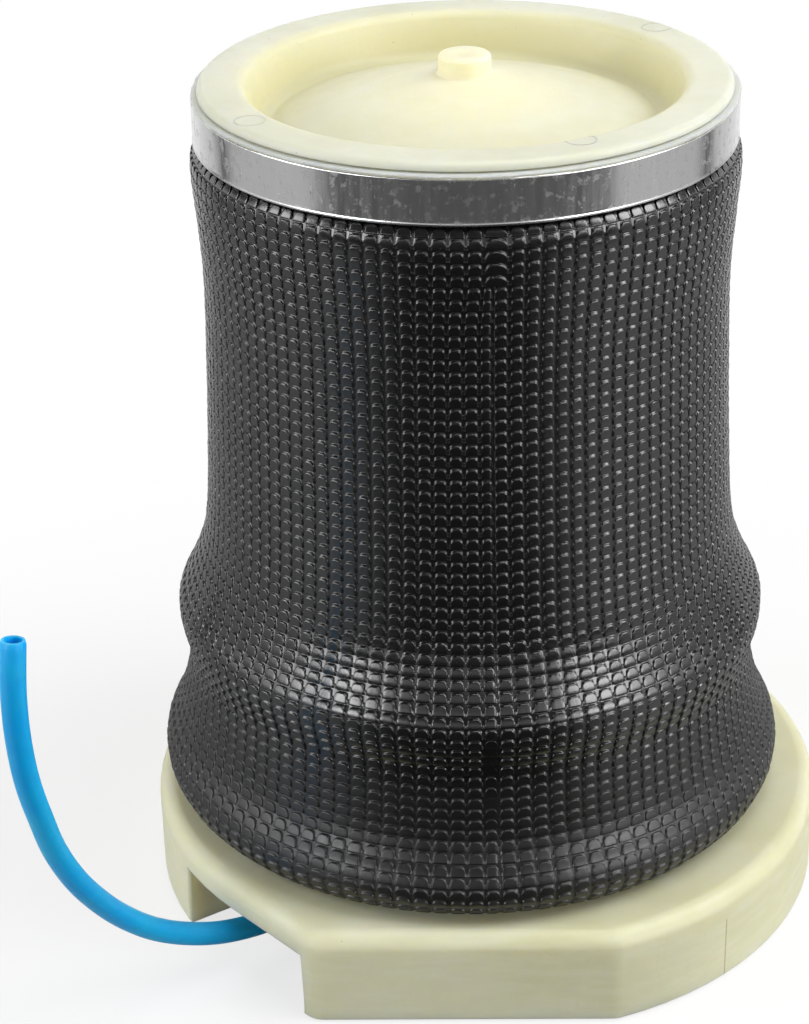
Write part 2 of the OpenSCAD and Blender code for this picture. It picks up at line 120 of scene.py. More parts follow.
# Sleeve: outer side with its shoulder, waist, bulge, neck and lobe, its wall, the wall's
# distance behind the pads, its roll and inner leg
SHOULDER_R = RING_R + 1.1
WAIST_R = RING_R - 0.6
BULGE_R = RING_R + 11.1
NECK_R = RING_R + 8.8
LOBE_R = RING_R + 17
BULGE_Z = DECK_Z + 53.5
NECK_Z = BULGE_Z - 13.5
WAIST_TOP = RING_BOTTOM - 19
WAIST_LOW = BULGE_Z + 30
WAIST_SHARES = (17 / 78, 42 / 78, 63 / 78)
CLAMP_IN = 65.2
SLEEVE_T = 2.2
WALL_BEHIND = 0.8
ROLL_R = 9.7
ROLL_C = (74.3, 36.0)
LEG_R = 64.6
LEG_TOP = 58.0

# Bodies of the CAD model
BODY_BASE = "base"
BODY_CAP = "cap"

# Hose: elbow, direction of its barrel, and the route from the CAD source; its sizes are in millimetres
ELBOW = (-14.0, -30.0, 9.5)
HOSE_AZ = math.radians(214)
HOSE_R = 3.0
HOSE_BORE_R = 2.0
HOSE_EDGE = 0.25
HOSE_SIDES = 40
HOSE_STARTS = (7.2, 15, 24, 33, 42)
HOSE_BOW = [(-57.5, -59.3, 9.8), (-66, -65.3, 12), (-74, -71.5, 16.5), (-81, -78, 23), (-87, -84.5, 31.5),
            (-91.5, -91, 41), (-95.4, -97.8, 52.2), (-98.5, -103.6, 64.6), (-100.2, -108.2, 77),
            (-101.7, -111.6, 89.3), (-102.4, -113.4, 101.8), (-102.4, -113.4, 114.2), (-101.6, -111.6, 127.2)]

# Pads of the sleeve: rows from the top ring down, columns round from the seam. The seam's own column is
# narrower, its first rows are one pad with the next column, and in its dark rows the pads are smeared out.
ROWS = 61
COLUMNS = 112
ROW_START = 1.2
ROW_PITCH = 3.04
SEAM_AZ = math.radians(275.1)
SEAM_SHARE = 0.85
SEAM_JOINED = 5
SEAM_DARK = (43, 52)
COLUMN_WIDTH = 2 * math.pi / (COLUMNS - 1 + SEAM_SHARE)

# Seam: how far the narrow column gives way at the top, in columns, and over how many columns and rows this
# fades; the parts of the two columns beside it where pads are lost, how much, and how much deeper it lies
SEAM_GIVES = 0.3
SEAM_FADE = (5, 4)
SEAM_SIDES = (0.7, 0.09)
SEAM_LOST = (0.55, 1.0)
SEAM_DARK_LOST = (0.62, 0.3)
SEAM_SINK = 0.3
SEAM_DARK_SINK = 0.08

# One pad: groove's depth, tilt and jitter in millimetres, and its arched top as shares of the pad
GROOVE_D = 0.55
PAD_TILT = 0.14
PAD_JITTER = 0.024
PAD_LEAN = 1.4
PAD_SAG = 0.02
ARCH = 0.52
ARCH_FLAT = 0.04
PAD_EDGE = 0.085
PAD_CROWN = -0.05

# Lines across a pad and down it, the share of the groove's depth at each, and how far it follows the arch
ACROSS = np.array([0.0, 0.045, PAD_EDGE, 0.12, 0.19, 0.34, 0.66, 0.81, 0.88, 1 - PAD_EDGE, 0.955])
ACROSS_DEPTH = np.array([1.0, 0.85, 0.38, 0.12, 0.0, PAD_CROWN, PAD_CROWN, 0.0, 0.12, 0.38, 0.85])
DOWN = np.array([0.0, 0.05, 0.09, 0.15, 0.23, 0.52, 0.88, 0.95])
DOWN_ARCH = np.array([0.0, 0.97, 1.0, 1.0, 0.97, 0.5, 0.05, 0.0])
DOWN_DEPTH = np.array([1.0, 1.0, 0.5, 0.14, 0.0, 0.03, 0.02, 0.6])

# Heights in millimetres of the low waves round the sleeve: one that changes from row to row, one that doesn't
WAVE_ROWS = 0.22
WAVE_ALL = 0.12

# Pieces of the padded skin with their first rows, and those of duller rubber
SLEEVE_PIECES = (("sleeve_shoulder", 0), ("sleeve_waist", 9), ("sleeve_side", 18), ("sleeve_flare", 27),
                 ("sleeve_bulge", 36), ("sleeve_neck", 44), ("sleeve_lobe", 52))
DULL_PIECES = ("sleeve_neck", "sleeve_lobe")

# Hollow at the sleeve's front above the lobe: direction, depth, height and half height
HOLLOW_AZ = math.radians(272)
HOLLOW_D = 2.2
HOLLOW_Z = 45.5
HOLLOW_H = 10.5

# Limits in millimetres of the part where the bulge is rubbed smooth, and of the part where the lobe is dull
RUBBED_LOW = (78.0, 86.0)
RUBBED_HIGH = (110.0, 96.0)
DULL_Z = (68.0, 58.0)

# Light: levels round the horizon from the front (0) to the back (1), below it and in the band above it, with
# the heights of a direction between which each gives way to the next, and the part where the backdrop stands
LOW_LEVELS = [(0.0, 0.09), (0.325, 0.09), (0.365, 0.52), (0.640, 0.52), (0.648, 0.03), (0.688, 0.03),
              (0.696, 0.66), (1.0, 0.85)]
BAND_LEVELS = [(0.0, 0.6), (0.10, 0.65), (0.165, 1.1), (0.205, 3.2), (0.24, 7.6), (0.31, 7.6), (0.37, 4.4),
               (0.43, 1.9), (0.56, 1.4), (1.0, 1.0)]
SKY_LEVEL = (0.11, 0.11, 0.11, 1)
BAND_START = (-0.03, 0.11)
SKY_START = (0.25, 0.36)
BACKDROP = (0.75, 0.91)

# Lamps: name, place and size in metres, and watts. All of them point at one place.
LAMPS = (("top_box", (0.28, -0.08, 1.27), (0.8, 0.7), 5.7),
         ("left_box", (-1.05, -0.15, 0.75), (0.5, 0.5), 4.3),
         ("right_box", (0.95, -0.15, 0.95), (0.6, 0.6), 8.2))
LAMP_AIM = (0, 0, 0.1)

# Studio floor: rings of its disc in metres, its tones at the sides and in front, with the angles from the
# front, in radians, between which they change, its glow, and the distances in metres over which it fades
STAGE_RINGS = (0.0, 0.08, 0.14, 0.2, 0.25, 0.3, 0.38, 0.46)
STAGE_DROP = 0.0002
FLOOR_PALE = (0.50, 0.50, 0.50, 1)
FLOOR_DEEP = (0.015, 0.015, 0.015, 1)
FLOOR_FRONT = (0.38, 0.95)
FLOOR_GLOW = 0.72
FLOOR_FADE = (0.12, 0.28)


def srgb(red, green, blue):
    """Linear colour of an sRGB colour given as 0 to 255."""
    def linear(x):
        x /= 255
        return x / 12.92 if x <= 0.04045 else ((x + 0.055) / 1.055) ** 2.4
    return (linear(red), linear(green), linear(blue), 1.0)


# Geometry helpers

def arc(centre, radius, start, end, steps):
    """Points on an arc in the plane of radius and height; angles in degrees."""
    turn = np.radians(np.linspace(start, end, steps + 1))
    return [(centre[0] + radius * math.cos(t), centre[1] + radius * math.sin(t)) for t in turn]


def spline(points, steps):
    """Catmull-Rom curve through points, with this many steps in each span."""
    p = np.asarray(points, float)
    last = len(p) - 1
    t = (np.arange(steps) / steps)[:, None]
    spans = []
    for i in range(last):
        a, b, c, d = p[max(i - 1, 0)], p[i], p[i + 1], p[min(i + 2, last)]
        spans.append(0.5 * (2 * b + (c - a) * t + (2 * a - 5 * b + 4 * c - d) * t ** 2
                            + (3 * b - a - 3 * c + d) * t ** 3))
    return np.vstack(spans + [p[last:]])


def lengths(points):
    """Distance along a line of points, at each point."""
    return np.concatenate([[0.0], np.cumsum(np.linalg.norm(np.diff(points, axis=0), axis=1))])


def link(name, mesh, material):
    piece = bpy.data.objects.new(name, mesh)
    bpy.context.scene.collection.objects.link(piece)
    mesh.materials.append(material)
    return piece


def smooth(mesh, angle):
    mesh.polygons.foreach_set("use_smooth", [True] * len(mesh.polygons))
    mesh.set_sharp_from_angle(angle=math.radians(angle))


def grid_piece(name, grid, material, around=True, closed=False, angle=35, merge=True):
    """A skin of quads over a grid of points; around joins its columns into a ring, closed joins its rows."""
    rows, cols = grid.shape[:2]
    i = np.arange(rows if closed else rows - 1)[:, None]
    j = np.arange(cols if around else cols - 1)[None, :]
    i2, j2 = (i + 1) % rows, (j + 1) % cols
    quads = np.stack([i * cols + j, i * cols + j2, i2 * cols + j2, i2 * cols + j], -1).reshape(-1, 4)
    mesh = bpy.data.meshes.new(name)
    mesh.from_pydata(grid.reshape(-1, 3).tolist(), [], quads.tolist())
    down = lengths(grid[:, 0])
    down = np.append(down, down[-1] * 1.02) / (down[-1] * 1.02)
    u = np.broadcast_to(np.stack([j, j + 1, j + 1, j], -1) / cols, (len(i), j.shape[1], 4))
    v = np.broadcast_to(np.stack([down[i], down[i], down[i + 1], down[i + 1]], -1), (len(i), j.shape[1], 4))
    layer = mesh.uv_layers.new(name="OFBake")
    layer.data.foreach_set("uv", np.stack([u, v], -1).astype(np.float32).ravel())
    if merge:
        tidy(mesh)
    smooth(mesh, angle)
    return link(name, mesh, material)


def tidy(mesh):
    """Merges points that lie on each other and turns all faces outwards."""
    work = bmesh.new()
    work.from_mesh(mesh)
    bmesh.ops.remove_doubles(work, verts=work.verts, dist=SAME_PLACE)
    bmesh.ops.recalc_face_normals(work, faces=work.faces)
    work.to_mesh(mesh)
    work.free()


def turned(radius, height, turn):
    """Points in metres at radii and heights in millimetres and angles round the axis."""
    return np.stack([radius * np.cos(turn), radius * np.sin(turn), height], -1) * MM


def lathe(name, profile, material, steps=256, closed=False, shape=None, angle=35):
    """A turned piece. The profile is radius and height in millimetres; shape may move the grid of points."""
    profile = np.asarray(profile, float)
    turn = np.linspace(0, 2 * math.pi, steps, endpoint=False)
    radius = np.repeat(profile[:, :1], steps, 1)
    height = np.repeat(profile[:, 1:], steps, 1)
    if shape is not None:
        radius, height = shape(radius, height, turn)
    return grid_piece(name, turned(radius, height, turn), material, closed=closed, angle=angle)


def ripple(turn, counts, seed):
    """A smooth wave round the axis, from -1 to 1, made of a few whole counts of waves."""
    noise = np.random.default_rng(seed)
    wave = sum(np.sin(n * turn + noise.uniform(0, 2 * math.pi)) for n in counts)
    return wave / len(counts)


def gap_edge(edge):
    """Whether an edge is one of the two upright ones where the hose gap cuts the base plate's outer side."""
    low, high = (v.co / MM for v in edge.verts)
    at = (low + high) / 2
    out = max(math.hypot(at.x - PLATE_C[0], at.y - PLATE_C[1]) - PLATE_R, FLAT_Y - at.y) > -GAP_NEAR
    upright = abs(high.z - low.z) > GAP_TALL
    return out and upright and edge.is_manifold and edge.calc_face_angle() > GAP_ANGLE


def cad_copy(node, name, body, material, bevel=0.0, angle=30):
    """A smoothed copy of a CAD node with softened edges, which stands for the node."""
    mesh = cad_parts[node].data.copy()
    mesh.name = name
    mesh.materials.clear()
    if "custom_normal" in mesh.attributes:
        mesh.attributes.remove(mesh.attributes["custom_normal"])
    work = bmesh.new()
    work.from_mesh(mesh)
    bmesh.ops.remove_doubles(work, verts=work.verts, dist=SAME_PLACE)
    bmesh.ops.dissolve_limit(work, angle_limit=math.radians(0.4), verts=work.verts, edges=work.edges)
    bmesh.ops.bevel(work, geom=[e for e in work.edges if gap_edge(e)], offset=GAP_ROUND * MM, segments=4,
                    profile=0.5, affect="EDGES", clamp_overlap=False)
    if bevel:
        sharp = [e for e in work.edges if e.is_manifold and e.calc_face_angle() > math.radians(angle)]
        bmesh.ops.bevel(work, geom=sharp, offset=bevel * MM, segments=2, profile=0.5, affect="EDGES",
                        clamp_overlap=True)
    work.to_mesh(mesh)
    work.free()
    smooth(mesh, angle)
    piece = link(name, mesh, material)
    weighted = piece.modifiers.new("weighted", "WEIGHTED_NORMAL")
    weighted.keep_sharp = True
    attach(piece, body)
    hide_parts(node)
    return piece


# Materials

class Nodes:
    """Short ways to add nodes to a node tree, which starts empty."""

    def __init__(self, tree):
        self.tree = tree
        tree.nodes.clear()

    def put(self, socket, value):
        if isinstance(value, bpy.types.NodeSocket):
            self.tree.links.new(value, socket)
        else:
            socket.default_value = value

    def add(self, kind, inputs=(), **settings):
        node = self.tree.nodes.new(kind)
        for key, value in settings.items():
            setattr(node, key, value)
        for key, value in dict(inputs).items():
            self.put(node.inputs[key], value)
        return node

    def place(self, scale=(1, 1, 1)):
        """Position on the piece in metres, times scale."""
        at = self.add("ShaderNodeTexCoord").outputs["Object"]
        return self.add("ShaderNodeMapping", {"Vector": at, "Scale": scale}).outputs[0]

    def attribute(self, name, output="Fac"):
        return self.add("ShaderNodeAttribute", attribute_name=name).outputs[output]

    def noise(self, at, scale, detail=3.0, rough=0.55):
        inputs = {"Vector": at, "Scale": scale, "Detail": detail, "Roughness": rough}
        return self.add("ShaderNodeTexNoise", inputs).outputs[0]

    def cells(self, at, scale, feature="F1"):
        return self.add("ShaderNodeTexVoronoi", {"Vector": at, "Scale": scale}, feature=feature).outputs[0]

    def span(self, value, low, high, to_low=0.0, to_high=1.0):
        inputs = {"Value": value, "From Min": low, "From Max": high, "To Min": to_low, "To Max": to_high}
        return self.add("ShaderNodeMapRange", inputs, clamp=True, interpolation_type="SMOOTHSTEP").outputs[0]

    def reach(self, value, limits):
        """Share from 0 at the first limit to 1 at the second. The limits are in millimetres."""
        return self.span(value, limits[0] * MM, limits[1] * MM)

    def math(self, operation, a, b=0.0):
        node = self.add("ShaderNodeMath", operation=operation)
        self.put(node.inputs[0], a)
        self.put(node.inputs[1], b)
        return node.outputs[0]

    def ramp(self, value, levels):
        """Grey levels along a value, from pairs of place and level; levels above 1 are kept."""
        node = self.add("ShaderNodeValToRGB", {0: value})
        stops = node.color_ramp.elements
        stops[0].position, stops[1].position = levels[0][0], levels[-1][0]
        for place, _ in levels[1:-1]:
            stops.new(place)
        for stop, (_, level) in zip(stops, levels):
            stop.color = (level, level, level, 1)
        return node.outputs[0]

    def times(self, first, *more):
        """Product of values."""
        for value in more:
            first = self.math("MULTIPLY", first, value)
        return first

    def split(self, vector):
        return self.add("ShaderNodeSeparateXYZ", {0: vector}).outputs

    def length(self, vector):
        return self.add("ShaderNodeVectorMath", {0: vector}, operation="LENGTH").outputs["Value"]

    def turn_from_front(self, x, y):
        """Angle away from the front, in radians: 0 in front, pi behind."""
        return self.math("ARCTAN2", self.math("ABSOLUTE", x), self.math("MULTIPLY", y, -1.0))

    def blend(self, share, a, b):
        node = self.add("ShaderNodeMix", data_type="RGBA")
        self.put(node.inputs[0], share)
        self.put(node.inputs[6], a)
        self.put(node.inputs[7], b)
        return node.outputs[2]

    def bump(self, height, depth, under=None):
        """Relief: height from 0 to 1 times depth in millimetres, on top of the relief under it."""
        inputs = {"Height": height, "Distance": depth * MM, "Strength": 1.0}
        if under is not None:
            inputs["Normal"] = under
        return self.add("ShaderNodeBump", inputs).outputs[0]

    def seen(self, backdrop):
        """Where the white background shows: to the camera all round, and in the backdrop's part to shiny and
        clear things too."""
        ray = self.add("ShaderNodeLightPath").outputs
        shiny = self.math("MAXIMUM", ray["Is Glossy Ray"], ray["Is Transmission Ray"])
        return self.math("MAXIMUM", ray["Is Camera Ray"], self.math("MULTIPLY", shiny, backdrop))


class Shader(Nodes):
    """A material made of nodes around one Principled shader."""

    def __init__(self, name, **sockets):
        self.material = bpy.data.materials.new(name)
        self.material.use_nodes = True
        super().__init__(self.material.node_tree)
        self.surface = self.add("ShaderNodeBsdfPrincipled")
        self.out = self.add("ShaderNodeOutputMaterial", {"Surface": self.surface.outputs[0]})
        for key, value in sockets.items():
            self.surface.inputs[key.replace("_", " ")].default_value = value

    def finish(self, colour, roughness, normal=None):
        self.put(self.surface.inputs["Base Color"], colour)
        self.put(self.surface.inputs["Roughness"], roughness)
        if normal is not None:
            self.put(self.surface.inputs["Normal"], normal)
        return self.material


def rubber_pads(name, shine):
    """Black rubber with embossed pads: leather grain, grooves painted near black as painted shade, worn tops
    and a little dust.
    It is rubbed smoother on the bulge and is duller on the lobe."""
    s = Shader(name, Specular_IOR_Level=shine)
    at = s.attribute("rest", "Vector")
    cloud = s.span(s.noise(at, 26, 4), 0.35, 0.65)
    grain = s.span(s.noise(at, 2600, 3, 0.6), 0.5, 0.7)
    dust = s.times(s.span(s.noise(at, 3400, 2), 0.69, 0.74), s.span(s.noise(at, 60, 3), 0.42, 0.62))
    body = s.blend(cloud, srgb(6, 6, 7), srgb(10, 10, 10))
    body = s.blend(s.times(s.attribute("tone"), 0.5), body, srgb(15, 15, 15))
    body = s.blend(s.times(grain, 0.3), body, srgb(25, 25, 24))
    body = s.blend(s.times(dust, 0.45), body, srgb(150, 148, 142))
    # Painted shade: the grooves between pads, and the seam's lost pads, are painted near black.
    colour = s.blend(s.attribute("groove"), body, srgb(3, 3, 4))
    height = s.split(at)[2]
    rubbed = s.times(s.reach(height, RUBBED_LOW), s.reach(height, RUBBED_HIGH))
    dull = s.reach(height, DULL_Z)
    roughness = s.span(s.noise(at, 420, 4), 0.3, 0.7, 0.19, 0.26)
    roughness = s.math("SUBTRACT", s.math("ADD", roughness, s.times(dull, 0.15)), s.times(rubbed, 0.04))
    relief = s.bump(s.cells(at, 2300, "SMOOTH_F1"), 0.010)
    relief = s.bump(s.noise(at, 5200, 2), 0.006, relief)
    return s.finish(colour, roughness, relief)


def smooth_rubber(name, colour, shine):
    """Moulded rubber without pattern: faint flow lines, dust and scuffs."""
    s = Shader(name, Specular_IOR_Level=0.45)
    at = s.place()
    light = tuple(min(1.0, c * 2.1) for c in colour[:3]) + (1.0,)
    scuff = s.span(s.noise(s.place((1, 1, 5)), 160, 5), 0.52, 0.7)
    dust = s.span(s.noise(at, 3000, 2), 0.68, 0.74)
    body = s.blend(s.times(scuff, 0.4), colour, light)
    body = s.blend(s.times(dust, 0.4), body, srgb(128, 126, 120))
    roughness = s.span(s.noise(at, 300, 4), 0.3, 0.7, shine, shine + 0.2)
    relief = s.bump(s.noise(at, 1500, 4), 0.05, s.bump(s.noise(at, 90, 2), 0.12))
    return s.finish(body, roughness, relief)


def recess_light_and_shade(s, body, dish, wall):
    """Lit and shaded copies of the cap's nylon in its recess, inside the rim: painted light on its dish and
    cone, painted shade on its wall.
    """
    away = s.length(s.place((1, 1, 0)))
    dish = s.blend(s.reach(away, DISH_EDGE), dish, wall)
    return s.blend(s.reach(away, RECESS_EDGE), dish, body)


def plate_glow_and_parting(s, at, body, deep):
    """Painted light under the base plate and in its hose gap, a lighter, warmer tone for light coming through
    the nylon, and the parting line on its outer side.
    """
    x, y, z = s.split(at)
    off_x = s.math("SUBTRACT", x, PLATE_C[0] * MM)
    off_y = s.math("SUBTRACT", y, PLATE_C[1] * MM)
    away = s.length(s.add("ShaderNodeCombineXYZ", {"X": off_x, "Y": off_y}).outputs[0])
    # Painted light: the underside and the gap's walls take the lighter, warmer deep tone.
    body = s.blend(s.times(s.reach(away, PAINTED_GLOW_R), s.reach(y, PAINTED_GLOW_Y), s.reach(z, PAINTED_GLOW_Z)), body, deep)
    aside = s.math("ADD", s.times(off_x, -math.sin(PARTING_AZ)), s.times(off_y, math.cos(PARTING_AZ)))
    aside = s.math("ABSOLUTE", aside)
    line = s.times(s.reach(aside, PARTING_WIDTH), s.reach(x, PARTING_X), s.reach(z, PARTING_Z))
    return s.blend(s.times(line, 0.6), body, srgb(150, 112, 84))


def nylon(name, tones, inner=None, deep=None):
    """Natural nylon: cream, slightly translucent, with cloudy tone, fine flow marks, pits and small specks.
    Tones are main, cloudy and light; inner tones, if given, are lit and shaded copies for the cap's recess:
    painted light on its dish and cone, and painted shade on its wall, last; deep is a lighter, warmer tone
    painted as light coming through the nylon on the base plate's underside and on the walls of its hose gap."""
    s = Shader(name, Subsurface_Weight=0.6, Subsurface_Scale=0.008, IOR=1.5)
    s.surface.inputs["Subsurface Radius"].default_value = (1.0, 0.85, 0.4)
    at = s.place()
    cloud = s.span(s.noise(at, 16, 4, 0.6), 0.35, 0.68)
    flow = s.times(s.span(s.noise(s.place((1, 1, 6)), 60, 4), 0.4, 0.7), 0.3)
    specks = s.times(s.span(s.noise(at, 1500, 1), 0.775, 0.80), s.span(s.noise(at, 90, 2), 0.5, 0.6))
    scratch = s.span(s.noise(s.place((60, 900, 60)), 1.0, 3), 0.66, 0.72)
    body = s.blend(flow, s.blend(cloud, tones[0], tones[1]), tones[2])
    if inner:
        # Painted light on the recess's dish and cone, and painted shade on its wall.
        dish = s.blend(flow, s.blend(cloud, inner[0], inner[1]), inner[2])
        body = recess_light_and_shade(s, body, dish, inner[3])
    if deep:
        body = plate_glow_and_parting(s, at, body, deep)
    body = s.blend(s.times(specks, 0.8), body, srgb(122, 112, 84))
    body = s.blend(s.times(scratch, 0.12), body, srgb(190, 184, 150))
    roughness = s.span(s.noise(at, 220, 5), 0.3, 0.7, 0.34, 0.52)
    relief = s.bump(s.noise(at, 55, 3), 0.22)
    relief = s.bump(s.noise(at, 900, 4, 0.6), 0.035, relief)
    relief = s.bump(scratch, 0.01, relief)
    return s.finish(body, roughness, relief)


def aluminium():
    """Rolled sheet: upright scratches and nicks, fine lines round the ring, dull spots."""
    s = Shader("crimp_aluminium", Metallic=1.0)
    at = s.place()
    streak = s.noise(s.place((900, 900, 60)), 1.0, 4, 0.6)
    lines = s.noise(s.place((30, 30, 5000)), 1.0, 3)
    spots = s.span(s.noise(at, 420, 4, 0.65), 0.52, 0.66)
    nicks = s.span(s.noise(s.place((900, 900, 260)), 1.0, 2), 0.70, 0.74)
    body = s.blend(s.times(spots, 0.5), srgb(222, 222, 222), srgb(188, 188, 187))
    body = s.blend(s.times(nicks, 0.6), body, srgb(246, 246, 246))
    roughness = s.math("ADD", s.span(streak, 0.3, 0.7, 0.15, 0.26), s.times(spots, 0.16))
    relief = s.bump(streak, 0.012)
    relief = s.bump(lines, 0.004, relief)
    relief = s.bump(s.noise(at, 70, 2), 0.10, relief)
    relief = s.bump(nicks, 0.03, relief)
    return s.finish(body, roughness, relief)


def metal(name, colour, dark, shine):
    """Turned or pressed metal: tool lines, tarnish and small scratches."""
    s = Shader(name, Metallic=1.0)
    at = s.place()
    tarnish = s.span(s.noise(at, 190, 5, 0.6), 0.45, 0.7)
    lines = s.noise(s.place((60, 60, 3600)), 1.0, 2)
    body = s.blend(s.times(tarnish, 0.6), colour, dark)
    roughness = s.math("ADD", s.span(lines, 0.3, 0.7, shine, shine + 0.12), s.times(tarnish, 0.14))
    relief = s.bump(s.noise(at, 1800, 3), 0.01, s.bump(lines, 0.012))
    return s.finish(body, roughness, relief)


def moulded(name, colour, light, shine):
    """Coloured moulded plastic: soft tone changes, sparkle-eroded skin and rubbed spots."""
    s = Shader(name, IOR=1.5)
    at = s.place()
    cloud = s.span(s.noise(at, 120, 4), 0.35, 0.7)
    rubbed = s.span(s.noise(at, 600, 4), 0.6, 0.72)
    body = s.blend(s.times(cloud, 0.4), colour, light)
    body = s.blend(s.times(rubbed, 0.3), body, light)
    roughness = s.span(s.noise(at, 900, 3), 0.3, 0.7, shine, shine + 0.16)
    relief = s.bump(s.noise(at, 3800, 3), 0.02)
    return s.finish(body, roughness, relief)


def hose_plastic():
    """Blue tube: fine lines drawn along it, cloudy tone, scuffs and a little light through it."""
    s = Shader("blue_hose", Subsurface_Weight=0.7, Subsurface_Scale=0.004, IOR=1.5, Specular_IOR_Level=0.4)
    s.surface.inputs["Subsurface Radius"].default_value = (0.3, 0.8, 1.0)
    at = s.place()
    round_it = s.attribute("around")
    drawn = s.noise(s.add("ShaderNodeCombineXYZ", {"X": round_it}).outputs[0], 34, 3)
    cloud = s.span(s.noise(at, 70, 3), 0.35, 0.7)
    scuff = s.span(s.noise(at, 500, 4), 0.6, 0.72)
    body = s.blend(cloud, srgb(8, 165, 255), srgb(24, 178, 255))
    body = s.blend(s.times(scuff, 0.10), body, srgb(90, 184, 232))
    body = s.blend(s.times(s.span(drawn, 0.5, 0.75), 0.2), body, srgb(0, 142, 238))
    roughness = s.span(s.noise(at, 260, 4), 0.3, 0.7, 0.28, 0.44)
    relief = s.bump(drawn, 0.03, s.bump(s.noise(at, 2400, 3), 0.012))
    return s.finish(body, roughness, relief)


def sintered():
    """Pressed bronze grains."""
    s = Shader("sintered_bronze", Metallic=1.0)
    at = s.place()
    grain = s.cells(at, 2400)
    body = s.blend(s.span(grain, 0.1, 0.6), srgb(190, 150, 96), srgb(92, 66, 38))
    roughness = s.span(s.noise(at, 900, 3), 0.3, 0.7, 0.45, 0.7)
    return s.finish(body, roughness, s.bump(grain, 0.12))


NYLON = nylon("cream_nylon", (srgb(223, 221, 183), srgb(213, 210, 165), srgb(232, 231, 206)))
# Its deep tone is painted light: lighter and warmer, under the plate and in its hose gap.
PLATE_NYLON = nylon("plate_nylon", (srgb(224, 223, 192), srgb(214, 212, 175), srgb(233, 233, 214)),
                    deep=srgb(241, 228, 180))
# The cap's inner tones are painted light and shade: a paler dish and cone, and a darker wall, last.
CAP_NYLON = nylon("cap_nylon", (srgb(221, 221, 201), srgb(212, 212, 188), srgb(230, 230, 216)),
                  (srgb(238, 234, 203), srgb(231, 226, 192), srgb(242, 240, 218), srgb(208, 203, 160)))
RUBBER = rubber_pads("rubber_pads", 1.0)
LOBE_RUBBER = rubber_pads("rubber_pads_lobe", 0.8)
PLAIN_RUBBER = smooth_rubber("sleeve_rubber", srgb(30, 30, 31), 0.46)
STOP_RUBBER = smooth_rubber("bump_rubber", srgb(24, 24, 25), 0.5)
BLACK_SEAL = smooth_rubber("black_seal", srgb(18, 18, 19), 0.32)
RED_SEAL = smooth_rubber("red_seal", srgb(150, 34, 26), 0.4)
ALUMINIUM = aluminium()
STEEL = metal("zinc_steel", srgb(196, 198, 200), srgb(138, 138, 136), 0.24)
BRASS = metal("brass", srgb(214, 176, 96), srgb(140, 108, 52), 0.2)
BRONZE = sintered()
BLACK_PLASTIC = moulded("black_plastic", srgb(26, 27, 29), srgb(52, 53, 55), 0.34)
BLUE_PLASTIC = moulded("blue_plastic", srgb(18, 74, 170), srgb(52, 112, 200), 0.3)
HOSE_BLUE = hose_plastic()


# Camera and hose

def make_camera():
    turn_cos, turn_sin = math.cos(CAMERA_YAW), math.sin(CAMERA_YAW)
    level = math.cos(CAMERA_PITCH)
    ahead = Vector((turn_sin * level, turn_cos * level, -math.sin(CAMERA_PITCH)))
    right = Vector((turn_cos, -turn_sin, 0))
    up = right.cross(ahead)
    x = math.cos(CAMERA_ROLL) * right + math.sin(CAMERA_ROLL) * up
    y = -math.sin(CAMERA_ROLL) * right + math.cos(CAMERA_ROLL) * up
    data = bpy.data.cameras.new("camera")
    data.lens = CAMERA_LENS
    data.sensor_width = 36
    data.clip_start, data.clip_end = 0.05, 50
    camera = bpy.data.objects.new("camera", data)
    turn = [(x[i], y[i], -ahead[i], CAMERA_PLACE[i]) for i in range(3)] + [(0, 0, 0, 1)]
    camera.matrix_world = Matrix(turn)
    bpy.context.scene.collection.objects.link(camera)
    bpy.context.scene.camera = camera


def along_barrel(distance):
    """Point on the axis of the elbow's barrel, in millimetres."""
    return np.array(ELBOW) + distance * np.array([math.cos(HOSE_AZ), math.sin(HOSE_AZ), 0])


def hose_route():
    return np.array([along_barrel(s) for s in HOSE_STARTS] + [np.array(p) for p in HOSE_BOW])


def tube_grid(line, radius, sides):
    """Rings of points round a line, turned as little as possible from one to the next."""
    ahead = np.gradient(line, axis=0)
    ahead /= np.linalg.norm(ahead, axis=1)[:, None]
    out = np.cross(ahead[0], [0, 0, 1])
    rings = []
    turn = np.linspace(0, 2 * math.pi, sides, endpoint=False)[:, None]
    for point, along, r in zip(line, ahead, radius):
        out = out - along * (out @ along)
        out /= np.linalg.norm(out)
        rings.append(point + r * (out * np.cos(turn) + np.cross(along, out) * np.sin(turn)))
    return np.array(rings)


def make_hose():
    """The hose with its bore and its square cut at both ends."""
    line = spline(hose_route(), 8)
    outer = np.full(len(line), HOSE_R)
    inner = np.full(len(line), HOSE_BORE_R)
    outer[[0, -1]] -= HOSE_EDGE
    inner[[0, -1]] += HOSE_EDGE * 0.6
    skin, bore = tube_grid(line, outer, HOSE_SIDES), tube_grid(line, inner, HOSE_SIDES)
    grid = np.vstack([skin, bore[::-1]]) * MM
    piece = grid_piece("air_hose", grid, HOSE_BLUE, closed=True, angle=40)
    around = np.arange(grid.shape[0] * HOSE_SIDES) % HOSE_SIDES
    layer = piece.data.attributes.new("around", "FLOAT", "POINT")
    layer.data.foreach_set("value", (np.abs(around - HOSE_SIDES / 2) / HOSE_SIDES).astype(np.float32))
    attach(piece, BODY_BASE)
    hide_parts("hose")


# Sleeve

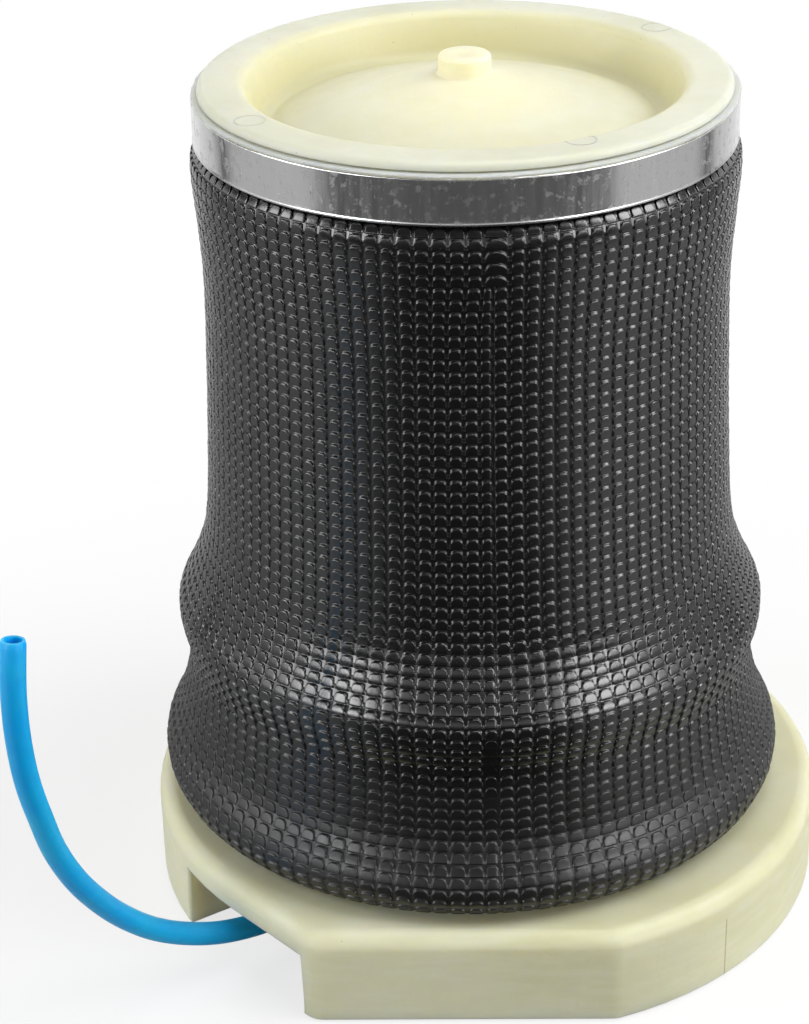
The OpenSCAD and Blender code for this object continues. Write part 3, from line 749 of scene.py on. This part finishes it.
def sleeve_line():
    """Outer side of the sleeve from the top ring down to the base plate, as radius and height."""
    waist = [WAIST_TOP + (WAIST_LOW - WAIST_TOP) * share for share in WAIST_SHARES]
    side = spline([
        (CLAMP_IN, RING_BOTTOM + 1), (CLAMP_IN + 0.5, RING_BOTTOM - 0.3), (SHOULDER_R - 0.3, RING_BOTTOM - 3),
        (SHOULDER_R, RING_BOTTOM - 8), ((SHOULDER_R + WAIST_R) / 2, WAIST_TOP), (WAIST_R, waist[0]),
        (WAIST_R + 0.6, waist[1]), (WAIST_R + 1.5, waist[2]), (WAIST_R + 2.4, WAIST_LOW),
        (WAIST_R + 3.8, BULGE_Z + 20), ((WAIST_R + BULGE_R) / 2 + 0.4, BULGE_Z + 12.5),
        (BULGE_R - 2.6, BULGE_Z + 6), (BULGE_R - 0.3, BULGE_Z + 1.5), (BULGE_R - 0.3, BULGE_Z - 3.5),
        (NECK_R + 0.6, NECK_Z + 4), (NECK_R, NECK_Z), (NECK_R + 1.2, NECK_Z - 9),
        ((NECK_R + LOBE_R) / 2, ROLL_C[1] + 11), (LOBE_R - 0.8, ROLL_C[1] + 4.5)], 24)
    return np.vstack([side, arc(ROLL_C, ROLL_R, 8, -90, 60)])


def front_hollow(height, turn):
    """How far in millimetres the sleeve is drawn in at the front, where it rolls over into the lobe."""
    front = np.clip(np.cos(turn - HOLLOW_AZ), 0, 1)
    return HOLLOW_D * front * np.exp(-((height - HOLLOW_Z) / HOLLOW_H) ** 2)


def frames(line, at):
    """Point and outward direction of the line, at distances along it."""
    along = lengths(line)
    point = np.stack([np.interp(at, along, line[:, k]) for k in (0, 1)], -1)
    step = 0.4
    ahead = np.stack([np.interp(at + step, along, line[:, k]) - np.interp(at - step, along, line[:, k])
                      for k in (0, 1)], -1)
    ahead /= np.linalg.norm(ahead, axis=-1)[..., None]
    return point, np.stack([-ahead[..., 1], ahead[..., 0]], -1)


def pad_columns():
    """Angle, column, place in the column and groove share at each upright line; the last column is narrow."""
    column = np.repeat(np.arange(COLUMNS), len(ACROSS))
    share = np.tile(ACROSS, COLUMNS)
    size = np.where(column == COLUMNS - 1, COLUMN_WIDTH * SEAM_SHARE, COLUMN_WIDTH)
    return SEAM_AZ + column * COLUMN_WIDTH + share * size, column, share, np.tile(ACROSS_DEPTH, COLUMNS)


def pad_rows():
    """Row, place in the row from its top, how far the line follows the arch, and groove share."""
    row = np.repeat(np.arange(ROWS), len(DOWN))
    return row, np.tile(DOWN, ROWS), np.tile(DOWN_ARCH, ROWS), np.tile(DOWN_DEPTH, ROWS)


def seam_shift(azimuth, row):
    """Angles of the grid points. The seam's column narrows at the top, where it and the next are one pad."""
    edge = SEAM_AZ + 2 * math.pi - SEAM_SHARE * COLUMN_WIDTH
    away = (azimuth - edge) / COLUMN_WIDTH
    near = np.where(away < 0, np.clip(1 + away / SEAM_FADE[0], 0, 1), np.clip(1 - away / SEAM_SHARE, 0, 1))
    upper = np.clip((SEAM_JOINED - 1 - row) / SEAM_FADE[1] + 1, 0, 1)
    return azimuth[None, :] + SEAM_GIVES * COLUMN_WIDTH * near[None, :] * upper[:, None]


def seam_marks(row, column, share):
    """Extra depth in millimetres, and how far pads are lost, where the sleeve's seam runs."""
    noise = np.random.default_rng(11)
    blur = noise.uniform(*SEAM_LOST, ROWS + 1)[row][:, None]
    dark = ((row >= SEAM_DARK[0]) & (row < SEAM_DARK[1]))[:, None]
    lower = (row >= SEAM_JOINED)[:, None]
    narrow = (column == COLUMNS - 1)[None, :]
    beside = narrow & (share > SEAM_SIDES[0])[None, :] | ((column == 0) & (share < SEAM_SIDES[1]))[None, :]
    smeared = SEAM_DARK_LOST[0] + SEAM_DARK_LOST[1] * blur
    lost = np.where(narrow & dark, smeared, np.where(beside & lower, blur, 0.0))
    return SEAM_SINK * lost + np.where(narrow & dark, SEAM_DARK_SINK, 0.0), lost


def arch_drop(share, row, column):
    """How far down, in rows, a pad's arched top lies across it, and where two pads are joined."""
    narrow = (column == COLUMNS - 1)[None, :]
    joined = (row < SEAM_JOINED)[:, None] & (narrow | (column == 0)[None, :])
    wide = SEAM_SHARE / (1 + SEAM_SHARE)
    both = np.where(narrow, share[None, :] * wide, wide + share[None, :] * (1 - wide))
    middle = np.abs(np.where(joined, both, share[None, :]) - 0.5)
    corner = np.clip((middle - ARCH_FLAT) / (0.5 - PAD_EDGE - ARCH_FLAT), 0, 1)
    inner = narrow & (share > 0.5)[None, :] | (column == 0)[None, :] & (share < 0.5)[None, :]
    return ARCH * (1 - np.sqrt(1 - corner ** 2)), joined & inner


def pad_grid(line):
    """The whole padded surface as grids: points, groove share, which also masks the grooves' painted shade,
    and tone.
    """
    azimuth, column, share, side_depth = pad_columns()
    row, down, arch, row_depth = (values[:, None] for values in pad_rows())
    drop, joined = arch_drop(share, row[:, 0], column)
    side = np.where(joined, PAD_CROWN, side_depth[None, :])
    jitter = RANDOM.normal(0, 1, (6, ROWS, COLUMNS))
    lift, lean_a, lean_b, tone, _, sag = jitter[:, row, column[None, :]]
    inside = 1 - np.maximum(row_depth, side)
    groove = 1 - (1 - row_depth) * (1 - side)
    place = row + down + arch * drop + np.clip(inside, 0, 1) * PAD_SAG * sag
    deeper, lost = seam_marks(row[:, 0], column, share)
    groove = groove * (1 - 0.85 * lost)
    lean = PAD_LEAN * (lean_a * (share[None, :] - 0.5) + lean_b * (down - 0.5))
    inset = GROOVE_D * groove + PAD_TILT * down * (1 - groove) + deeper
    inset -= inside * PAD_JITTER * (lift + lean)
    point, out = frames(line, ROW_START + ROW_PITCH * place)
    wave = WAVE_ROWS * ripple(azimuth, (2, 3, 5), 3)[None, :] * np.sin(place / 9)
    wave = wave + WAVE_ALL * ripple(azimuth, (4, 7, 9), 5)
    fade = np.clip((place - 3) / 10, 0, 1) * np.clip((ROWS - place) / 8, 0, 1)
    moved = point + out * (wave * fade - inset)[..., None]
    turn = seam_shift(azimuth, row[:, 0])
    moved[..., 0] -= front_hollow(moved[..., 1], turn)
    # The seam's lost pads are painted near black, in the same mask as the grooves' painted shade.
    groove = np.clip(np.maximum(groove, lost * 0.9), 0, 1)
    return turned(moved[..., 0], moved[..., 1], turn), groove, np.clip(0.5 + 0.22 * tone, 0, 1) * (1 - groove)


def close_rows(xyz, groove, tone, line):
    """Adds the last groove line under the bottom row, tucked into the wall."""
    azimuth = pad_columns()[0]
    last = ROW_START + ROW_PITCH * ROWS
    rings = []
    for at, inset in ((last, GROOVE_D), (last + 0.35, GROOVE_D + 0.35)):
        point, out = frames(line, np.array([at]))
        radius, height = (point - out * inset)[0]
        rings.append(turned(radius, height + 0 * azimuth, azimuth))
    more = np.ones((2, len(azimuth)))
    return np.concatenate([xyz, rings]), np.concatenate([groove, more]), np.concatenate([tone, 0 * more])


def make_pads(line):
    """Bands of pads from the top ring to the base plate, cut in the grooves between rows."""
    xyz, groove, tone = close_rows(*pad_grid(line), line)
    normals = weighted_normals(xyz)
    per_row = len(DOWN)
    # The groove layer also carries the grooves' painted shade into the rubber's colour.
    layers = (("groove", "FLOAT", "value", groove), ("tone", "FLOAT", "value", tone),
              ("rest", "FLOAT_VECTOR", "vector", xyz))
    ends = [row * per_row for _, row in SLEEVE_PIECES[1:]] + [len(xyz) - 1]
    for (name, row), last in zip(SLEEVE_PIECES, ends):
        part = slice(row * per_row, last + 1)
        material = LOBE_RUBBER if name in DULL_PIECES else RUBBER
        piece = grid_piece(name, xyz[part][::-1], material, angle=180, merge=False)
        piece.data.normals_split_custom_set_from_vertices(normals[part][::-1].reshape(-1, 3))
        for key, kind, field, values in layers:
            layer = piece.data.attributes.new(key, kind, "POINT")
            layer.data.foreach_set(field, values[part][::-1].astype(np.float32).ravel())
        hold_sleeve(piece)


def weighted_normals(grid):
    """Normals of a closed grid of points, weighted by the size of the faces, so that pads shade flat."""
    beside = np.roll(grid, -1, axis=1)
    face = np.cross(beside[1:] - grid[:-1], grid[1:] - beside[:-1])
    face /= np.sqrt(np.linalg.norm(face, axis=-1, keepdims=True)) + 1e-12
    face *= np.linalg.norm(face, axis=-1, keepdims=True) ** 2
    total = np.zeros_like(grid)
    total[:-1] += face + np.roll(face, 1, axis=1)
    total[1:] += face + np.roll(face, 1, axis=1)
    total /= np.linalg.norm(total, axis=-1, keepdims=True)
    outward = (total[..., 0] * grid[..., 0] + total[..., 1] * grid[..., 1]).mean() > 0
    return total if outward else -total


def hold_sleeve(piece):
    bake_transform(piece)


def make_wall(line):
    """The rubber wall behind the pads: clamped top, roll on the base plate, leg on the piston, inner side."""
    last = ROW_START + ROW_PITCH * ROWS
    end = lengths(line)[-1]
    at = np.concatenate([np.linspace(0.1, last - 1, 150), np.linspace(last - 0.6, end - 0.05, 24)])
    point, out = frames(line, at)
    inset = np.clip((last + 0.6 - at) / 0.8, 0, 1) * np.clip(at / 2, 0, 1) * WALL_BEHIND
    outer = point - out * inset[:, None]
    inner = point - out * SLEEVE_T
    turn_out = arc(ROLL_C, ROLL_R, -93, -180, 40)
    turn_in = arc(ROLL_C, ROLL_R - SLEEVE_T, -93, -180, 40)
    top = RING_TOP - 0.3
    profile = ([(CLAMP_IN, top)] + outer.tolist() + turn_out + [(LEG_R, LEG_TOP), (LEG_R + SLEEVE_T, LEG_TOP)]
               + turn_in[::-1] + inner[::-1].tolist() + [(CLAMP_IN - SLEEVE_T, top)])

    def drawn_in(radius, height, turn):
        return radius - np.where(radius > LEG_R + 5, front_hollow(height, turn[None, :]), 0), height
    piece = lathe("sleeve_wall", profile, PLAIN_RUBBER, steps=192, closed=True, shape=drawn_in)
    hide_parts("sleeve")
    hold_sleeve(piece)


# Cap and top ring

def cone_z(radius):
    """Height of the cap's cone at a radius, in millimetres."""
    foot = (DISH_R - 4, DISH_Z + 0.2)
    top = (PEG_R + 1.5, RIM_Z - 0.1)
    return top[1] + (foot[1] - top[1]) * (radius - top[0]) / (foot[0] - top[0])


def cap_profile():
    """Peg, cone, recess, rim, flange, barbs and the hollow underneath, as radius and height."""
    top = RIM_Z + PEG_H
    peg = ([(0, top - 0.85), (1.2, top - 0.8), (2.2, top - 0.4), (3.0, top - 0.12), (4.2, top - 0.05)]
           + arc((PEG_R - 1.2, top - 1.2), 1.2, 84, 0, 8)
           + [(PEG_R, RIM_Z + 1.4), (PEG_R + 0.12, RIM_Z + 0.7), (PEG_R + 0.5, RIM_Z + 0.2),
              (PEG_R + 1.2, RIM_Z)])
    cone = [(r, cone_z(r)) for r in np.linspace(PEG_R + 3, DISH_R - 6, 18)]
    recess = arc((DISH_R - 4, DISH_Z + 3.6), 3.6, 270, 350, 14) + [(RECESS_R - 1.2, RIM_Z - RIM_ROUND_IN)]
    rim = (arc((RECESS_R + 2, RIM_Z - RIM_ROUND_IN), RIM_ROUND_IN, 170, 90, 12)
           + [(RECESS_R + 5, RIM_Z), (RIM_R - 4, RIM_Z)]
           + arc((RIM_R - RIM_ROUND_OUT, RIM_Z - RIM_ROUND_OUT), RIM_ROUND_OUT, 90, 0, 12))
    flange = [(RIM_R - 0.1, RING_TOP + 1.25), (RIM_R - 2.6, RING_TOP + 1.15), (RIM_R - 2.6, RING_TOP + 0.8),
              (RING_R - 0.4, RING_TOP + 0.72), (RING_R, RING_TOP + 0.45), (RING_R, RING_TOP + 0.05)]
    notch = ((0, 0), (0.7, 0.7), (0, 1.4))
    barbs = [(SPIGOT_R - deep, RING_TOP - 2.4 * k - low) for k in (1, 2, 3) for deep, low in notch]
    spigot = ([(SPIGOT_R, RING_TOP)] + barbs + [(SPIGOT_R, SPIGOT_BOTTOM + 1.5)]
              + arc((SPIGOT_R - 1.5, SPIGOT_BOTTOM + 1.5), 1.5, -20, -90, 4))
    hollow = [(DISH_R + 5, SPIGOT_BOTTOM), (DISH_R + 3, SPIGOT_BOTTOM + 1.2), (DISH_R - 3, DISH_Z - 3.6),
              (PAD_R, PAD_Z), (PAD_R - 0.6, PAD_Z), (0, PAD_Z)]
    return peg + cone + recess + rim + flange + spigot + hollow


def ragged_flange(radius, height, turn):
    """The thin flange over the ring is uneven where it was trimmed, and the rim is not quite flat."""
    flange = (height > RING_TOP) & (height < RING_TOP + 0.79) & (radius > RIM_R)
    noise = np.random.default_rng(21)
    steps = len(turn)
    rough = np.convolve(np.tile(noise.normal(0, 1, steps), 3), np.ones(3) / 3, "same")[steps:2 * steps]
    edge = TRIM_LONG * ripple(turn, (5, 11, 17), 8) + TRIM_SHORT * rough
    radius = radius + np.where(flange, edge[None, :] - TRIM_BACK, 0)
    rim = (height > RIM_Z - 2) & (radius > DISH_R)
    return radius, height + np.where(rim, RIM_WAVE * ripple(turn, (2, 3), 9)[None, :], 0)


def ring_mark(name, centre, height_at, material, body):
    """A thin raised circle on a surface, as an ejector pin leaves it. Centre in millimetres."""
    turn = np.linspace(0, 2 * math.pi, 64, endpoint=False)
    section = [(-PIN_LINE / 2, -PIN_SUNK), (-PIN_LINE / 4, PIN_PROUD), (PIN_LINE / 4, PIN_PROUD),
               (PIN_LINE / 2, -PIN_SUNK)]
    grid = []
    for off, rise in section:
        x, y = centre[0] + (PIN_R + off) * np.cos(turn), centre[1] + (PIN_R + off) * np.sin(turn)
        grid.append(np.stack([x, y, height_at(np.hypot(x, y)) + rise], -1) * MM)
    piece = grid_piece(name, np.array(grid), material, closed=True)
    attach(piece, body)
    return piece


def rim_z(radius):
    """Height of the cap's rim at a radius, in millimetres, with its rounded edges."""
    inner = np.clip(RECESS_R + 2 - radius, 0, RIM_ROUND_IN)
    outer = np.clip(radius - (RIM_R - RIM_ROUND_OUT), 0, RIM_ROUND_OUT)
    return (RIM_Z - RIM_ROUND_IN + np.sqrt(RIM_ROUND_IN ** 2 - inner ** 2)
            - RIM_ROUND_OUT + np.sqrt(RIM_ROUND_OUT ** 2 - outer ** 2))


def make_cap():
    cap = lathe("cap", cap_profile(), CAP_NYLON, steps=360, shape=ragged_flange)
    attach(cap, BODY_CAP)
    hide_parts("top_cap")
    for k, centre in enumerate(PIN_MARKS):
        mark = ring_mark(f"cap_pin_mark_{k + 1}", centre, rim_z, CAP_NYLON, BODY_CAP)


def dented(radius, height, turn):
    """The ring's side is slightly wavy and its lower edge is rolled unevenly."""
    side = radius > RING_R - 0.4
    low = (height < RING_BOTTOM + 1.2) & side
    radius = radius + np.where(side, RING_WAVE * ripple(turn, (3, 8, 13), 31)[None, :], 0)
    return radius + np.where(low, ROLLED_WAVE * ripple(turn, (9, 21, 34), 33)[None, :], 0), height


def make_ring():
    low, top = RING_BOTTOM, RING_TOP - 0.05
    profile = ([(CLAMP_IN + 0.3, low + 0.5), (CLAMP_IN + 0.5, low + 0.15), (CLAMP_IN + 0.9, low)]
               + arc((RING_R - 0.38, low + 0.5), 0.5, -80, 30, 8)
               + [(RING_R + 0.02, low + 1.0), (RING_R, low + 1.4)]
               + [(RING_R, z) for z in np.linspace(low + 2, top - 0.5, 8)]
               + arc((RING_R - 0.35, top - 0.35), 0.35, 0, 90, 5) + [(CLAMP_IN + 0.3, top)])
    ring = lathe("crimp_band", profile, ALUMINIUM, steps=360, closed=True, shape=dented, angle=50)
    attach(ring, BODY_CAP)
    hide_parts("top_crimp_ring")


# Base and fittings

def make_base():
    base = cad_copy("base_plate", "base_shell", BODY_BASE, PLATE_NYLON, bevel=EDGE_ROUND)


NODE_LOOKS = {
    "bottom_crimp_ring": (ALUMINIUM, "crimp_aluminium"), "piston": (NYLON, "cream_nylon"),
    "bump_stop": (STOP_RUBBER, "black_rubber"), "bump_spacer": (STEEL, "steel"),
    "bump_washer": (STEEL, "steel"), "bump_screw": (STEEL, "steel"), "screw_insert": (BRASS, "brass"),
    "piston_screws": (STEEL, "steel"), "piston_washers": (STEEL, "steel"), "base_inserts": (BRASS, "brass"),
    "port_insert": (BRASS, "brass"), "port_filter": (BRONZE, "sintered_bronze"),
    "port_seal": (RED_SEAL, "red_seal"), "elbow_stem": (BRASS, "brass"),
    "stem_o_ring": (BLACK_SEAL, "black_seal"), "elbow_body": (BLACK_PLASTIC, "black_plastic"),
    "tube_seal": (BLACK_SEAL, "black_seal"), "grab_ring": (STEEL, "steel"),
    "cartridge_sleeve": (BRASS, "brass"), "release_collet": (BLUE_PLASTIC, "blue_plastic")}


def dress_nodes():
    for node, (material, slot) in NODE_LOOKS.items():
        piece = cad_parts[node]
        piece.data.materials.clear()
        piece.data.materials.append(material)


# Floor, light and world

def make_floor():
    """A pale round floor. The camera sees it nearly white, fading into the background with a soft shadow."""
    around = np.linspace(0, 2 * math.pi, 96, endpoint=False)
    rings = [np.stack([r * np.cos(around), r * np.sin(around), 0 * around], -1) for r in STAGE_RINGS]
    s = Shader("pale_floor")
    at = s.place()
    x, y, _ = s.split(at)
    turn = s.turn_from_front(x, y)
    seen = s.seen(s.span(turn, BACKDROP[0] * math.pi, BACKDROP[1] * math.pi))
    cloud = s.span(s.noise(at, 30, 3), 0.3, 0.7, 0.97, 1.0)
    tone = s.blend(s.times(s.span(turn, *FLOOR_FRONT), cloud), FLOOR_DEEP, FLOOR_PALE)
    s.finish(s.blend(seen, tone, srgb(250, 250, 250)), s.span(s.noise(at, 200, 3), 0.3, 0.7, 0.7, 0.8))
    glow = s.add("ShaderNodeEmission", {"Color": (1, 1, 1, 1), "Strength": 1.0})
    share = s.times(s.span(s.length(at), *FLOOR_FADE, FLOOR_GLOW, 1.0), seen)
    mix = s.add("ShaderNodeMixShader", {0: share, 1: s.surface.outputs[0], 2: glow.outputs[0]})
    s.put(s.out.inputs["Surface"], mix.outputs[0])
    floor = grid_piece("floor", np.array(rings), s.material)
    floor.data.flip_normals()
    floor.location.z = -STAGE_DROP


def make_world():
    """White to the camera. For light and reflections it is dark in front below eye level, and pale at the
    sides and at the back."""
    world = bpy.data.worlds.new("studio")
    bpy.context.scene.world = world
    world.use_nodes = True
    s = Nodes(world.node_tree)
    x, y, z = s.split(s.add("ShaderNodeTexCoord").outputs["Generated"])
    share = s.math("DIVIDE", s.turn_from_front(x, y), math.pi)
    band = s.blend(s.span(z, *BAND_START), s.ramp(share, LOW_LEVELS), s.ramp(share, BAND_LEVELS))
    level = s.blend(s.span(z, *SKY_START), band, SKY_LEVEL)
    seen = s.seen(s.span(share, *BACKDROP))
    back = s.add("ShaderNodeBackground", {"Color": s.blend(seen, level, (1, 1, 1, 1)), "Strength": 1.0})
    out = s.add("ShaderNodeOutputWorld")
    s.put(out.inputs["Surface"], back.outputs[0])


def soft_box(name, place, size, watts):
    data = bpy.data.lights.new(name, "AREA")
    data.shape = "RECTANGLE"
    data.size, data.size_y = size
    data.energy = watts
    lamp = bpy.data.objects.new(name, data)
    lamp.location = place
    lamp.rotation_euler = (Vector(LAMP_AIM) - Vector(place)).to_track_quat("-Z", "Y").to_euler()
    lamp.visible_camera = False
    bpy.context.scene.collection.objects.link(lamp)


make_camera()
make_hose()
LINE = sleeve_line()
make_pads(LINE)
make_wall(LINE)
make_cap()
make_ring()
make_base()
dress_nodes()
make_floor()
make_world()
for lamp in LAMPS:
    soft_box(*lamp)
bpy.context.scene.view_settings.view_transform = "Standard"
